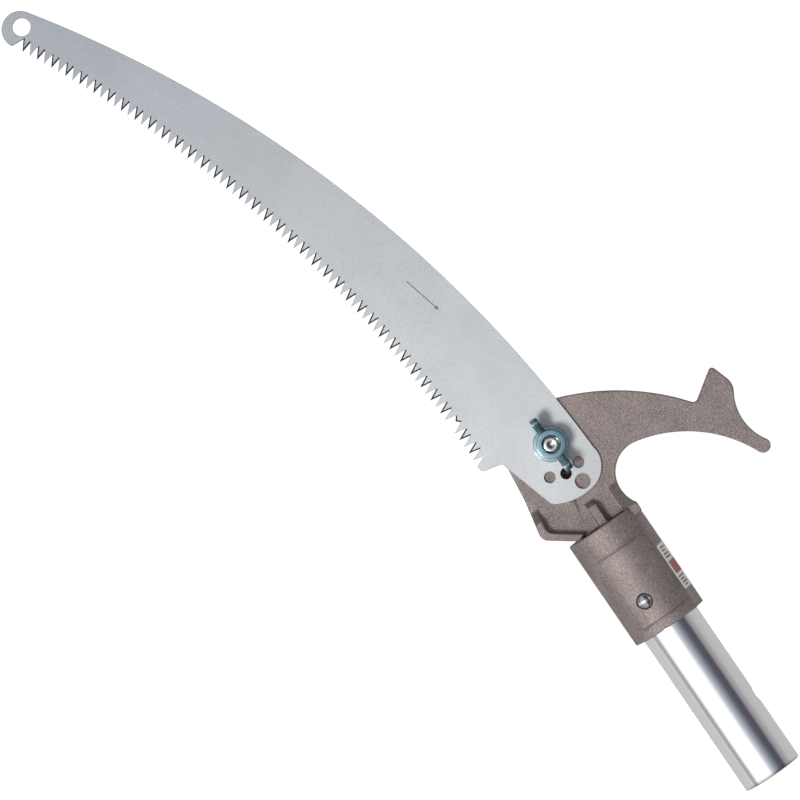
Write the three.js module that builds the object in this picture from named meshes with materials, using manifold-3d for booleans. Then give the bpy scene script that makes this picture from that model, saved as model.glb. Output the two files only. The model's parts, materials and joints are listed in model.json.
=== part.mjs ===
// Pole saw head: a curved blade clamped by a wing nut to a cast head with a branch hook, and the
// aluminium adapter tube that the head sits on. Millimetres, +Z up the pole's axis towards the
// head, +X towards the hook, and the blade on the -Y side of the head's flat web.
// The origin is the centre of the adapter tube's lower end.
import * as THREE from "three";
import { mergeVertices } from "three/addons/utils/BufferGeometryUtils.js";
import Module from "manifold-3d";

const wasm = await Module();
wasm.setup();

// ---- Driving dimensions ----

const TUBE_OD = 31.75; // 1 1/4 in
const TUBE_WALL = 2.1;
const TUBE_OUT = 90.6; // length below the collar
const TUBE_CHAMFER = 0.4;
const POLE_HOLE_D = 9.5; // in the +X wall, for the pole's own lock
const POLE_HOLE_Z = 37.8;

const SOCKET_CLEARANCE = 0.3; // radial, tube in collar
const SOCKET_END = 5; // thickness of the collar's closed end
const SEAT_GAP = 0.5; // between the tube's upper end and the closed end
const COLLAR_WALL = 4;
const COLLAR_LENGTH = 60;
const FACET_DEG = 40; // arc of each flat side facet, from the parting plane
const PANEL_WIDTH = 26; // raised pad on the collar's front
const PANEL_LENGTH = 39.7;
const PANEL_RISE = 0.5;
const PANEL_ABOVE = 5.9; // above the collar's lower end

const WEB_THICKNESS = 6.5;
const RIM_THICKNESS = 3.8;
const RIM_RISE = 6; // above each face of the web
const RIB_THICKNESS = 4.8;
const THROAT_R = 16.1;
const HOOK_UNDER_R = 68.4;
const HOOK_OVER_R = 124.1;
const HOOK_TIP_R = 3.7;
const HORN_NECK_R = 26.3;
const HORN_R = 9;
const HORN_TIP_R = 1.7;
const HORN_RISE = 10.86; // between the horn's two rounds

const BOLT_D = 7.94; // 5/16 in
const BOLT_X = 1.2;
const BOLT_ABOVE = 47.8; // above the collar's upper end
const BOLT_HEAD_D = 18.3;
const BOLT_HEAD_RISE = 4.4;
const BOLT_NECK = 4.5; // length of the square neck
const BOLT_SUNK = 1.2; // the bolt's end is this far below the nut's top

const PIN_D = 4.8;
const PIN_WALL = 0.9;
const PIN_SLIT = 0.9;
const PIN_CLEARANCE = 0.3;
const PIN_FLOOR = 1; // left of the web behind the pin's blind hole
const INDEX_RADIUS = 16.5; // from the bolt to the index holes
const INDEX_STEP_DEG = 29.4;
const INDEX_MIDDLE_DEG = -96.2; // the hole over the pin, from +X towards +Z
const INDEX_HOLE_D = 5.7;
const SPARE_HOLE_D = 7.7;
const SPARE_HOLE_RADIUS = 24.4;
const SPARE_HOLE_DEG = -83;

const BLADE_THICKNESS = 1.5;
const BLADE_REACH = 316.5; // along the toothed edge, from the heel to the tip hole
const TOOTH_LINE_R = 642.6;
const SPINE_R = 639.5;
const TOOTH_PITCH = 4.087;
const TOOTH_DEPTH = 5.8;
const TOOTH_LEAN = 0.17; // share of a pitch that each point leans towards the heel
const TIP_BARE = 5.5; // toothed line without teeth before the tip hole
const TIP_HOLE_D = 9;
const TIP_HOLE_OFF = 1.4; // from the middle of the round tip towards the spine
const HEEL_R = 30.1; // round the bolt
const HEEL_FRONT_R = 4.5;
const HEEL_BACK_R = 14.5;
const TANG_HALF = 23; // from the bolt to the tang's straight edge
const TANG_DEG = 196.7; // direction of that edge's outward normal

const WASHER_D = 17.8;
const WASHER_THICKNESS = 1.6;
const LOCK_D = 15.6;
const LOCK_THICKNESS = 1.8;
const LOCK_SLIT = 1.2;
const THREAD_CLEARANCE = 0.3; // radial, round the bolt
const STACK_GAP = 0.1; // between faces that bear on each other

const NUT_BASE_D = 16.2;
const NUT_TOP_D = 12.4;
const NUT_HEIGHT = 8;
const NUT_SPAN = 32;
const NUT_WING_RISE = 13;
const NUT_WING_THICKNESS = 4.6;
const NUT_REST_DEG = 3.6; // the wings' lean at rest, unscrewing way

const BUTTON_D = 7.7;
const BUTTON_CLEARANCE = 0.3;
const BUTTON_RISE = 2; // dome above the pad
const BUTTON_DOME = 3.2;
const BUTTON_ABOVE = 17.3; // above the collar's lower end
const BUTTON_TURN_DEG = 13; // from the front towards -X
const FLANGE_D = 10.6;
const FLANGE_THICKNESS = 1.2;
const LEAF_WIDTH = 9;
const LEAF_THICKNESS = 0.8;
const LEAF_LENGTH = 30; // from the button down to the fold
const LEAF_END = 6; // from the button up to the legs' ends
const LEAF_GAP = 0.3;

const LABEL_LENGTH = 26;
const LABEL_WIDTH = 12.6;
const LABEL_THICKNESS = 0.25;
const LABEL_ABOVE = 10.5; // above the collar's lower end

// ---- Derived places ----

const TUBE_R = TUBE_OD / 2;
const TUBE_BORE_R = TUBE_R - TUBE_WALL;
const BORE_R = TUBE_R + SOCKET_CLEARANCE;
const COLLAR_R = BORE_R + COLLAR_WALL;
const COLLAR_TOP = TUBE_OUT + COLLAR_LENGTH;
const TUBE_TOP = COLLAR_TOP - SOCKET_END - SEAT_GAP;
const BOLT_Z = COLLAR_TOP + BOLT_ABOVE;
const BOLT_R = BOLT_D / 2;
const HOLE_R = BOLT_R + THREAD_CLEARANCE;
const WEB_HALF = WEB_THICKNESS / 2;
const RIM_HALF = WEB_HALF + RIM_RISE;
const BLADE_BACK = -WEB_HALF - STACK_GAP;
const WASHER_BACK = BLADE_BACK - BLADE_THICKNESS - STACK_GAP;
const LOCK_BACK = WASHER_BACK - WASHER_THICKNESS - STACK_GAP;
const NUT_BACK = LOCK_BACK - LOCK_THICKNESS - STACK_GAP;
const BOLT_END = NUT_BACK - NUT_HEIGHT + BOLT_SUNK;
const BUTTON_Z = TUBE_OUT + BUTTON_ABOVE;
const FACET_HALF_DEG = FACET_DEG / 2;

const rad = THREE.MathUtils.degToRad;
const deg = THREE.MathUtils.radToDeg;

// ---- Outlines: lists of [across, up] points ----

const polar = (centre, radius, angle) => [
  centre[0] + radius * Math.cos(rad(angle)),
  centre[1] + radius * Math.sin(rad(angle)),
];

// Points of an arc about a centre, ends included. A falling angle turns clockwise.
function arc(centre, radius, fromDeg, toDeg, steps) {
  return Array.from({ length: steps + 1 }, (_, i) =>
    polar(centre, radius, fromDeg + ((toDeg - fromDeg) * i) / steps),
  );
}

// The corner between two straight sides, rounded by the arc that touches both.
function rounded(before, corner, after, radius, steps = 5) {
  const at = new THREE.Vector2(...corner);
  const a = new THREE.Vector2(...before).sub(at).normalize();
  const b = new THREE.Vector2(...after).sub(at).normalize();
  const half = a.angleTo(b) / 2;
  const middle = a.clone().add(b).setLength(radius / Math.sin(half));
  const start = a.multiplyScalar(radius / Math.tan(half)).sub(middle);
  const end = b.multiplyScalar(radius / Math.tan(half)).sub(middle);
  const turn = deg(Math.atan2(start.cross(end), start.dot(end)));
  const from = deg(start.angle());
  return arc(middle.add(at).toArray(), radius, from, from + turn, steps);
}

// ---- Solids ----

// A closed geometry as a manifold-3d solid.
function solid(geometry) {
  const bare = geometry.index ? geometry.toNonIndexed() : geometry.clone();
  bare.deleteAttribute("normal");
  bare.deleteAttribute("uv");
  const merged = mergeVertices(bare, 1e-4);
  return new wasm.Manifold(
    new wasm.Mesh({
      numProp: 3,
      vertProperties: merged.attributes.position.array,
      triVerts: new Uint32Array(merged.index.array),
    }),
  );
}

function geometryOf(made) {
  const mesh = made.getMesh();
  const geometry = new THREE.BufferGeometry();
  geometry.setAttribute("position", new THREE.BufferAttribute(mesh.vertProperties, 3));
  geometry.setIndex(new THREE.BufferAttribute(mesh.triVerts, 1));
  return geometry;
}

function extruded(points, depth) {
  const shape = new THREE.Shape(points.map(([a, b]) => new THREE.Vector2(a, b)));
  return new THREE.ExtrudeGeometry(shape, { depth, bevelEnabled: false });
}

// An outline of [x, z] points, from yLow to yHigh.
function plate(points, yLow, yHigh) {
  return solid(extruded(points, yHigh - yLow).rotateX(Math.PI / 2).translate(0, yHigh, 0));
}

// An outline of [y, z] points, from xLow to xHigh.
function slab(points, xLow, xHigh) {
  const turned = extruded(points, xHigh - xLow).rotateX(Math.PI / 2).rotateZ(Math.PI / 2);
  return solid(turned.translate(xLow, 0, 0));
}

// An outline of [x, y] points, from zLow to zHigh.
function column(points, zLow, zHigh) {
  return solid(extruded(points, zHigh - zLow).translate(0, 0, zLow));
}

// A closed profile of [radius, y] points turned about the Y axis.
function latheY(profile, segments = 48) {
  const points = [...profile, profile[0]].map(([r, y]) => new THREE.Vector2(r, y));
  return new THREE.LatheGeometry(points, segments);
}

// A rod along Y through (x, z).
function rodY(radius, yLow, yHigh, [x, z] = [0, 0], segments = 32) {
  const geometry = new THREE.CylinderGeometry(radius, radius, yHigh - yLow, segments);
  return solid(geometry.translate(x, (yLow + yHigh) / 2, z));
}

function box(xSize, ySize, zSize, x, y, z) {
  return solid(new THREE.BoxGeometry(xSize, ySize, zSize).translate(x, y, z));
}

// ---- Cast head ----

// Web with the hook, anticlockwise from the collar's right shoulder.
function webOutline() {
  const throat = [COLLAR_R + 13.5, COLLAR_TOP + 9.1];
  const under = polar(throat, HOOK_UNDER_R - THROAT_R, 258);
  const over = [COLLAR_R - 46.2, COLLAR_TOP - 51.2];
  const tip = polar(under, HOOK_UNDER_R + HOOK_TIP_R, 24);
  const neck = polar(tip, HOOK_TIP_R + HORN_NECK_R, 32.8);
  const horn = polar(neck, HORN_NECK_R + HORN_R, 147.5);
  const hornTip = polar(horn, HORN_RISE, 65.7);
  const flank = deg(Math.asin((HORN_R - HORN_TIP_R) / HORN_RISE)) - 24.3;
  const hornLeft = polar(hornTip, HORN_TIP_R, 123.3);
  const root = polar(over, HOOK_OVER_R, 37.1);
  const onTop = polar(over, HOOK_OVER_R, 41);
  const crown = polar(over, HOOK_OVER_R, 80);
  const corner = [BOLT_X - 22, BOLT_Z + 24];
  return [
    [COLLAR_R, COLLAR_TOP - SOCKET_END],
    ...arc(throat, THROAT_R, 214, 78, 40),
    ...arc(under, HOOK_UNDER_R, 78, 24, 40).slice(1),
    ...arc(tip, HOOK_TIP_R, 204, 392.8, 28).slice(1),
    ...arc(neck, HORN_NECK_R, 212.8, 147.5, 30).slice(1),
    ...arc(horn, HORN_R, -32.5, flank, 16).slice(1),
    ...arc(hornTip, HORN_TIP_R, flank, 123.3, 16),
    ...rounded(hornLeft, root, onTop, 2.5, 12),
    ...arc(over, HOOK_OVER_R, 41, 80, 40),
    ...rounded(crown, corner, guardCorners()[0], 14, 20),
    ...guardEdge(),
    [-COLLAR_R + 8, COLLAR_TOP - SOCKET_END],
  ];
}

const guardCorners = () => [
  [-COLLAR_R - 5, COLLAR_TOP + 32.4],
  [-COLLAR_R - 9.2, COLLAR_TOP + 10.6],
  [-COLLAR_R + 6, COLLAR_TOP - 0.4],
];

// The guard's outer edge, from the blade's side down and round to the collar.
function guardEdge() {
  const [top, bend, foot] = guardCorners();
  return [top, ...rounded(top, bend, foot, 4.5, 14), foot];
}

// A rim round the guard's corner: its edge, and the same edge moved inwards.
function guardRim() {
  const inwards = ([x, z]) => [x + 1.11 * RIM_THICKNESS, z + 0.44 * RIM_THICKNESS];
  const edge = guardEdge();
  const rim = plate([...edge, ...edge.map(inwards).reverse()], -RIM_HALF, RIM_HALF);
  return rim.intersect(rampedBlock(RIM_HALF, COLLAR_TOP + 18.5, COLLAR_TOP + 25, -60, 0));
}

// A block about the web's middle plane, at full height up to zFull and down to the web at zEnd.
function rampedBlock(half, zFull, zEnd, xLow, xHigh) {
  const low = COLLAR_TOP - SOCKET_END;
  const right = [[half, low], [half, zFull], [WEB_HALF - 0.5, zEnd]];
  const left = right.map(([y, z]) => [-y, z]).reverse();
  return slab([...right, ...left], xLow, xHigh);
}

// Rib from the collar's end up the middle of the web.
const middleRib = () =>
  rampedBlock(RIM_HALF, COLLAR_TOP + 11, COLLAR_TOP + 13.4, BOLT_X - 2.9, BOLT_X - 2.9 + RIB_THICKNESS);

// Gusset from the collar's shoulder up the throat's edge.
function shoulderGusset(outline) {
  const half = COLLAR_R * Math.sin(rad(FACET_DEG));
  const wedge = rampedBlock(half, COLLAR_TOP, COLLAR_TOP + 15, COLLAR_R - 7.2, COLLAR_R + 4);
  return wedge.intersect(plate(outline, -half - 1, half + 1));
}

// Socket collar: a circle with two flat facets at each side, meeting at the parting plane.
function collar() {
  const centre = [0, 0];
  const section = [
    [COLLAR_R, 0],
    ...arc(centre, COLLAR_R, FACET_DEG, 180 - FACET_DEG, 44),
    [-COLLAR_R, 0],
    ...arc(centre, COLLAR_R, 180 + FACET_DEG, 360 - FACET_DEG, 44),
  ];
  const padArc = arc(centre, COLLAR_R + PANEL_RISE, 225, 315, 40);
  const padLow = TUBE_OUT + PANEL_ABOVE;
  const pad = column([centre, ...padArc], padLow, padLow + PANEL_LENGTH);
  const window = box(PANEL_WIDTH, 30, PANEL_LENGTH + 2, 0, -20, padLow + PANEL_LENGTH / 2);
  return column(section, TUBE_OUT, COLLAR_TOP).add(pad.intersect(window));
}

function headSolid() {
  const outline = webOutline();
  const web = plate(outline, -WEB_HALF, WEB_HALF);
  const body = [web, guardRim(), middleRib(), shoulderGusset(outline)].reduce(
    (sum, next) => sum.add(next),
    collar(),
  );
  const boreTop = COLLAR_TOP - SOCKET_END;
  const bore = column(arc([0, 0], BORE_R, 0, 360, 96).slice(1), TUBE_OUT - 1, boreTop);
  const neck = BOLT_D + 2 * THREAD_CLEARANCE;
  const neckDepth = BOLT_NECK + THREAD_CLEARANCE;
  const square = box(neck, 2 * neckDepth, neck, BOLT_X, WEB_HALF, BOLT_Z);
  const pin = polar([BOLT_X, BOLT_Z], INDEX_RADIUS, INDEX_MIDDLE_DEG);
  return body
    .subtract(bore)
    .subtract(square)
    .subtract(rodY(HOLE_R, -COLLAR_R, COLLAR_R, [BOLT_X, BOLT_Z]))
    .subtract(rodY(PIN_D / 2 + PIN_CLEARANCE, -COLLAR_R, WEB_HALF - PIN_FLOOR, pin))
    .subtract(radialRod(BUTTON_D / 2 + BUTTON_CLEARANCE, TUBE_BORE_R, COLLAR_R + BUTTON_RISE));
}

// ---- Blade, in a frame with the bolt's axis as origin ----

const TOOTH_CENTRE = [-679.1, 18.1];
const SPINE_CENTRE = [-622.2, -34.4];
const HEEL_DEG = -0.6; // where the toothed line starts

// Centre and radius of the circle that touches the toothed line and the spine at the tip:
// its centre is on the ellipse whose foci are the two arcs' centres.
function tipCircle() {
  const lineDeg = HEEL_DEG + deg(BLADE_REACH / TOOTH_LINE_R);
  const apart = new THREE.Vector2(...SPINE_CENTRE).sub(new THREE.Vector2(...TOOTH_CENTRE));
  const sum = TOOTH_LINE_R + SPINE_R;
  const along = apart.length() * Math.cos(rad(lineDeg) - apart.angle());
  const out = (sum ** 2 - apart.lengthSq()) / (2 * (sum - along));
  return { centre: polar(TOOTH_CENTRE, out, lineDeg), radius: out - TOOTH_LINE_R, lineDeg };
}

// Tooth points on the toothed line and gullets behind it, from the tip back to the heel.
function teeth(tip) {
  const step = deg(TOOTH_PITCH / TOOTH_LINE_R);
  const bare = deg(TIP_BARE / TOOTH_LINE_R);
  const count = Math.floor((tip.lineDeg - bare - HEEL_DEG) / step);
  const at = (radius, i) => polar(TOOTH_CENTRE, radius, HEEL_DEG + step * (i + 0.6));
  const gullet = (i) => at(TOOTH_LINE_R + TOOTH_DEPTH, i);
  const point = (i) => at(TOOTH_LINE_R, i + 0.5 - TOOTH_LEAN);
  const edge = Array.from({ length: count }, (_, i) => [gullet(i), point(i)]).flat();
  return [...edge, gullet(count)].reverse();
}

function bladeOutline() {
  const tip = tipCircle();
  const bolt = [0, 0];
  const spineDeg = ([x, z]) =>
    deg(Math.atan2(z - SPINE_CENTRE[1], x - SPINE_CENTRE[0]));
  const backX = SPINE_CENTRE[0] + SPINE_R - HEEL_BACK_R;
  const back = [backX, -Math.sqrt((HEEL_R - HEEL_BACK_R) ** 2 - backX ** 2)];
  const across = TANG_HALF - HEEL_FRONT_R;
  const turn = deg(Math.acos(across / (HEEL_R - HEEL_FRONT_R)));
  const front = polar(bolt, HEEL_R - HEEL_FRONT_R, TANG_DEG + turn);
  const backDeg = 360 + deg(Math.atan2(back[1], back[0]));
  const tang = polar(polar(bolt, TANG_HALF, TANG_DEG), 10, TANG_DEG - 90);
  const notch = [tang[0] - 0.6, tang[1] + 2.6];
  const heel = polar(TOOTH_CENTRE, TOOTH_LINE_R, HEEL_DEG);
  const bump = [heel[0] + 0.4, heel[1] - 3.4];
  const lastGullet = polar(TOOTH_CENTRE, TOOTH_LINE_R + TOOTH_DEPTH, HEEL_DEG + 0.2);
  return [
    ...arc(front, HEEL_FRONT_R, TANG_DEG, TANG_DEG + turn, 5),
    ...arc(bolt, HEEL_R, TANG_DEG + turn, backDeg, 10).slice(1),
    ...arc(back, HEEL_BACK_R, backDeg, 360, 8).slice(1),
    ...arc(SPINE_CENTRE, SPINE_R, spineDeg(back) + 0.2, spineDeg(tip.centre), 40),
    ...arc(tip.centre, tip.radius, spineDeg(tip.centre), tip.lineDeg + 180, 16).slice(1),
    ...teeth(tip),
    ...rounded(lastGullet, heel, bump, 0.4, 2),
    ...rounded(heel, bump, notch, 2.2, 5),
    ...rounded(bump, notch, tang, 2.4, 5),
  ];
}

function bladeSolid() {
  const back = BLADE_BACK;
  const front = BLADE_BACK - BLADE_THICKNESS;
  const tip = tipCircle();
  const tipHole = polar(tip.centre, TIP_HOLE_OFF, tip.lineDeg);
  const index = [-1, 0, 1].map((k) => polar([0, 0], INDEX_RADIUS, INDEX_MIDDLE_DEG + k * INDEX_STEP_DEG));
  const spare = polar([0, 0], SPARE_HOLE_RADIUS, SPARE_HOLE_DEG);
  const holes = [
    rodY(HOLE_R, front - 1, back + 1),
    rodY(SPARE_HOLE_D / 2, front - 1, back + 1, spare),
    rodY(TIP_HOLE_D / 2, front - 1, back + 1, tipHole),
    ...index.map((centre) => rodY(INDEX_HOLE_D / 2, front - 1, back + 1, centre, 24)),
  ];
  return holes.reduce((sum, hole) => sum.subtract(hole), plate(bladeOutline(), front, back));
}

// ---- Clamp: bolt, washers and wing nut, round the same axis ----

function boltSolid() {
  const under = WEB_HALF + STACK_GAP;
  const crown = Array.from({ length: 7 }, (_, i) => {
    const turn = (Math.PI / 2) * (i / 6);
    return [(BOLT_HEAD_D / 2) * Math.cos(turn), under + 1 + (BOLT_HEAD_RISE - 1) * Math.sin(turn)];
  });
  const tipStart = BOLT_END + 1;
  const shank = [[0, BOLT_END], [BOLT_R - 1, BOLT_END], [BOLT_R, tipStart], [BOLT_R, under]];
  const head = [[BOLT_HEAD_D / 2, under], ...crown.slice(0, -1), [0, under + BOLT_HEAD_RISE]];
  const points = [...shank, ...head];
  const turned = solid(new THREE.LatheGeometry(points.map(([r, y]) => new THREE.Vector2(r, y)), 40));
  return turned.add(box(BOLT_D, BOLT_NECK, BOLT_D, 0, under - BOLT_NECK / 2 + 0.01, 0));
}

function ring(outerD, thickness, back) {
  const front = back - thickness;
  const outer = outerD / 2;
  return solid(latheY([[HOLE_R, front], [outer, front], [outer, back], [HOLE_R, back]]));
}

const lockWasherSolid = () =>
  ring(LOCK_D, LOCK_THICKNESS, LOCK_BACK).subtract(
    box(LOCK_SLIT, 4 * LOCK_THICKNESS, LOCK_D, 0, LOCK_BACK, -LOCK_D / 2),
  );

// A wing in the plane of the bolt's axis, rising from the nut's side to a round tip.
function wingOutline() {
  const out = (rise) => NUT_BACK - rise;
  const tipR = 2.6;
  const reach = NUT_SPAN / 2 - tipR;
  const shape = new THREE.Shape();
  shape.moveTo(out(1), HOLE_R + 1);
  shape.lineTo(out(1), NUT_BASE_D / 2 - 0.5);
  shape.bezierCurveTo(out(2), reach - 1, out(5), reach + 1.6, out(NUT_WING_RISE - tipR), reach + tipR);
  shape.absarc(out(NUT_WING_RISE - tipR), reach, tipR, Math.PI / 2, Math.PI + 0.5, false);
  shape.quadraticCurveTo(out(NUT_HEIGHT - 0.2), NUT_TOP_D / 2 + 2, out(NUT_HEIGHT - 0.4), HOLE_R + 1);
  return shape.getPoints(7).map((p) => [p.x, p.y]);
}

function wingNutSolid() {
  const top = NUT_BACK - NUT_HEIGHT;
  const base = NUT_BASE_D / 2;
  const outside = [[NUT_TOP_D / 2, top], [base, NUT_BACK - 2], [base, NUT_BACK]];
  const profile = [[HOLE_R, top], ...outside, [HOLE_R, NUT_BACK]];
  const wing = slab(wingOutline(), -NUT_WING_THICKNESS / 2, NUT_WING_THICKNESS / 2);
  return solid(latheY(profile)).add(wing).add(wing.rotate([0, 180, 0]));
}

function pinSolid() {
  const r = PIN_D / 2;
  const low = STACK_GAP - WEB_HALF;
  const high = WEB_HALF - PIN_FLOOR - STACK_GAP;
  const tube = latheY([[r - PIN_WALL, low], [r, low], [r, high], [r - PIN_WALL, high]], 24);
  return solid(tube).subtract(box(PIN_SLIT, WEB_THICKNESS * 2, r, 0, 0, -r));
}

// ---- Adapter tube and its snap button ----

function tubeSolid() {
  const c = TUBE_CHAMFER;
  const profile = [
    [TUBE_BORE_R, c], [TUBE_BORE_R + c, 0], [TUBE_R - c, 0], [TUBE_R, c],
    [TUBE_R, TUBE_TOP - c], [TUBE_R - c, TUBE_TOP], [TUBE_BORE_R + c, TUBE_TOP], [TUBE_BORE_R, TUBE_TOP - c],
  ];
  const tube = solid(latheY(profile, 64).rotateX(Math.PI / 2));
  const cross = new THREE.CylinderGeometry(POLE_HOLE_D / 2, POLE_HOLE_D / 2, TUBE_R, 32);
  return tube
    .subtract(solid(cross.rotateZ(Math.PI / 2).translate(TUBE_R, 0, POLE_HOLE_Z)))
    .subtract(radialRod(BUTTON_D / 2 + BUTTON_CLEARANCE, TUBE_BORE_R - 3, TUBE_R + 3));
}

// Turns a geometry made for the front of the tube round to the button's side.
const towardsButton = (geometry) =>
  geometry.rotateZ(-rad(BUTTON_TURN_DEG)).translate(0, 0, BUTTON_Z);

// A rod through the tube's or collar's wall at the button, between two distances from the axis.
function radialRod(radius, near, far) {
  const rod = new THREE.CylinderGeometry(radius, radius, far - near, 32);
  return solid(towardsButton(rod.translate(0, -(near + far) / 2, 0)));
}

// How far from the axis a flat of this width can lie inside the tube's bore.
const insideBore = (width) => Math.sqrt(TUBE_BORE_R ** 2 - (width / 2) ** 2) - LEAF_GAP;

function buttonSolid() {
  const r = BUTTON_D / 2;
  const flangeTop = insideBore(FLANGE_D);
  const flangeBase = flangeTop - FLANGE_THICKNESS;
  const crown = COLLAR_R + PANEL_RISE + BUTTON_RISE;
  const dome = Array.from({ length: 9 }, (_, i) => {
    const turn = (Math.PI / 2) * (i / 8);
    return [r * Math.sin(turn), crown - BUTTON_DOME * (1 - Math.cos(turn))];
  });
  const outline = [[r, flangeTop], [FLANGE_D / 2, flangeTop], [FLANGE_D / 2, flangeBase], [0, flangeBase]];
  const points = [...dome, ...outline].map(([radius, out]) => new THREE.Vector2(radius, -out));
  return solid(towardsButton(new THREE.LatheGeometry(points, 32)));
}

// A strip folded into a U: the front leg behind the button, the back leg on the far wall.
function leafOutline() {
  const front = insideBore(FLANGE_D) - FLANGE_THICKNESS - LEAF_GAP;
  const back = insideBore(LEAF_WIDTH);
  const outer = (front + back) / 2;
  const middle = [(back - front) / 2, -LEAF_LENGTH];
  return [
    [-front, LEAF_END],
    ...arc(middle, outer, 180, 360, 16),
    [back, LEAF_END],
    [back - LEAF_THICKNESS, LEAF_END],
    ...arc(middle, outer - LEAF_THICKNESS, 360, 180, 16),
    [LEAF_THICKNESS - front, LEAF_END],
  ];
}

const springSolid = () =>
  slab(leafOutline(), -LEAF_WIDTH / 2, LEAF_WIDTH / 2)
    .rotate([0, 0, -BUTTON_TURN_DEG])
    .translate([0, 0, BUTTON_Z]);

// ---- Assembly ----

const material = (color, roughness, metalness) =>
  new THREE.MeshStandardMaterial({ color, roughness, metalness });

function mesh(name, geometry, look) {
  const made = new THREE.Mesh(geometry, look);
  made.name = name;
  return made;
}

function label() {
  const facet = new THREE.Group();
  facet.rotation.z = -rad(FACET_HALF_DEG);
  const sheet = new THREE.BoxGeometry(LABEL_THICKNESS, LABEL_WIDTH, LABEL_LENGTH);
  const made = mesh("collar_label", sheet, material(0xd9d6d4, 0.45, 0));
  const out = COLLAR_R * Math.cos(rad(FACET_HALF_DEG)) + STACK_GAP + LABEL_THICKNESS / 2;
  made.position.set(out, 0, TUBE_OUT + LABEL_ABOVE + LABEL_LENGTH / 2);
  facet.add(made);
  return facet;
}

function clamp() {
  const group = new THREE.Group();
  group.position.set(BOLT_X, 0, BOLT_Z);
  const zinc = [0x9fb4bd, 0.3, 1];
  group.add(
    mesh("saw_blade", geometryOf(bladeSolid()), material(0xc5c9cc, 0.42, 1)),
    mesh("carriage_bolt", geometryOf(boltSolid()), material(...zinc)),
    mesh("flat_washer", geometryOf(ring(WASHER_D, WASHER_THICKNESS, WASHER_BACK)), material(...zinc)),
    mesh("lock_washer", geometryOf(lockWasherSolid()), material(...zinc)),
  );
  const nut = mesh("wing_nut", geometryOf(wingNutSolid()), material(...zinc));
  nut.rotation.y = -rad(NUT_REST_DEG);
  const pin = mesh("locating_pin", geometryOf(pinSolid()), material(0x5b5f63, 0.35, 1));
  const [x, z] = polar([0, 0], INDEX_RADIUS, INDEX_MIDDLE_DEG);
  pin.position.set(x, 0, z);
  group.add(nut, pin);
  return group;
}

const saw = new THREE.Group();
saw.add(
  mesh("saw_head", geometryOf(headSolid()), material(0x857c76, 0.6, 0.8)),
  mesh("adapter_tube", geometryOf(tubeSolid()), material(0xd8dade, 0.22, 1)),
  mesh("snap_button", geometryOf(buttonSolid()), material(0xdfe3e6, 0.1, 1)),
  mesh("button_spring", geometryOf(springSolid()), material(0x8f9498, 0.3, 1)),
  label(),
  clamp(),
);

export default saw;
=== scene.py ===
import json
import math

import bmesh
import bpy
import numpy as np
from bpy.props import FloatProperty, FloatVectorProperty, PointerProperty
from mathutils import Matrix, Vector
from mathutils.geometry import tessellate_polygon


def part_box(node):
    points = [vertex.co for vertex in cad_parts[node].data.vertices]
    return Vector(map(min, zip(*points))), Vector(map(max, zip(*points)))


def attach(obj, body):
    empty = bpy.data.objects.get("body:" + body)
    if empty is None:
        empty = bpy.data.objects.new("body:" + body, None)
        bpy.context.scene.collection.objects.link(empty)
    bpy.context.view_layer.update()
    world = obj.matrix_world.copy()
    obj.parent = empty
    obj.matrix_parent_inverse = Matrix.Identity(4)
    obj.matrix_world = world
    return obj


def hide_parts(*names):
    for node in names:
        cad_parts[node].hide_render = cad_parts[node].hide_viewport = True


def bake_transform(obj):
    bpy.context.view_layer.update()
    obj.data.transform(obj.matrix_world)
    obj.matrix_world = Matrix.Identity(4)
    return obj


bl_info = {
    "name": "Pole Saw Head",
    "version": (1, 0, 0),
    "blender": (4, 5, 0),
    "location": "3D View > Sidebar > Pole Saw",
    "description": "Builds the visible pieces of a pole saw head round its packed frame",
    "category": "Object",
}

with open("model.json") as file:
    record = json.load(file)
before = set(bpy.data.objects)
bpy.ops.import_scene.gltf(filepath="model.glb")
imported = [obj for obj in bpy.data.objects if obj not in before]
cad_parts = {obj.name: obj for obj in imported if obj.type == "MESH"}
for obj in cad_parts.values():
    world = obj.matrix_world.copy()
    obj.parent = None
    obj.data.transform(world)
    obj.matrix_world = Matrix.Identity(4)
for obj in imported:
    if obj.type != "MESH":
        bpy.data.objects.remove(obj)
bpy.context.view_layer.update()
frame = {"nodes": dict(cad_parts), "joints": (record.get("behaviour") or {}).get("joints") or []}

MM = 0.001
BOLT = Vector(next(j["pos_m"] for j in frame["joints"] if j["name"] == "blade_turn")) / MM
BLADE_LOW, BLADE_HIGH = (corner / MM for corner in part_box("saw_blade"))
TUBE_LOW, TUBE_HIGH = (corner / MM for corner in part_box("adapter_tube"))
NUT_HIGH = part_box("wing_nut")[1] / MM
FLAT_LOW, FLAT_HIGH = (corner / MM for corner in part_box("flat_washer"))
LOCK_LOW, LOCK_HIGH = (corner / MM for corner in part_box("lock_washer"))
BOLT_LOW, BOLT_HIGH = (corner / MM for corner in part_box("carriage_bolt"))
PIN_LOW, PIN_HIGH = (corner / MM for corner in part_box("locating_pin"))
BUTTON_LOW, BUTTON_HIGH = (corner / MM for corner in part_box("snap_button"))
LABEL_LOW, LABEL_HIGH = (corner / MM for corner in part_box("collar_label"))

THREAD_PITCH = 25.4 / 18
NUT_REST_DEG = 3.6
WASHER_BORE = 4.35  # radius
TUBE_WALL = 2.1
PANEL_LOW, PANEL_HIGH = TUBE_LOW.z + 95.9, TUBE_LOW.z + 136.8  # the collar's raised panel
BUTTON_DEG = 13.0
BUTTON_Z = (BUTTON_LOW.z + BUTTON_HIGH.z) / 2
FACET_DEG = 20.0


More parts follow.
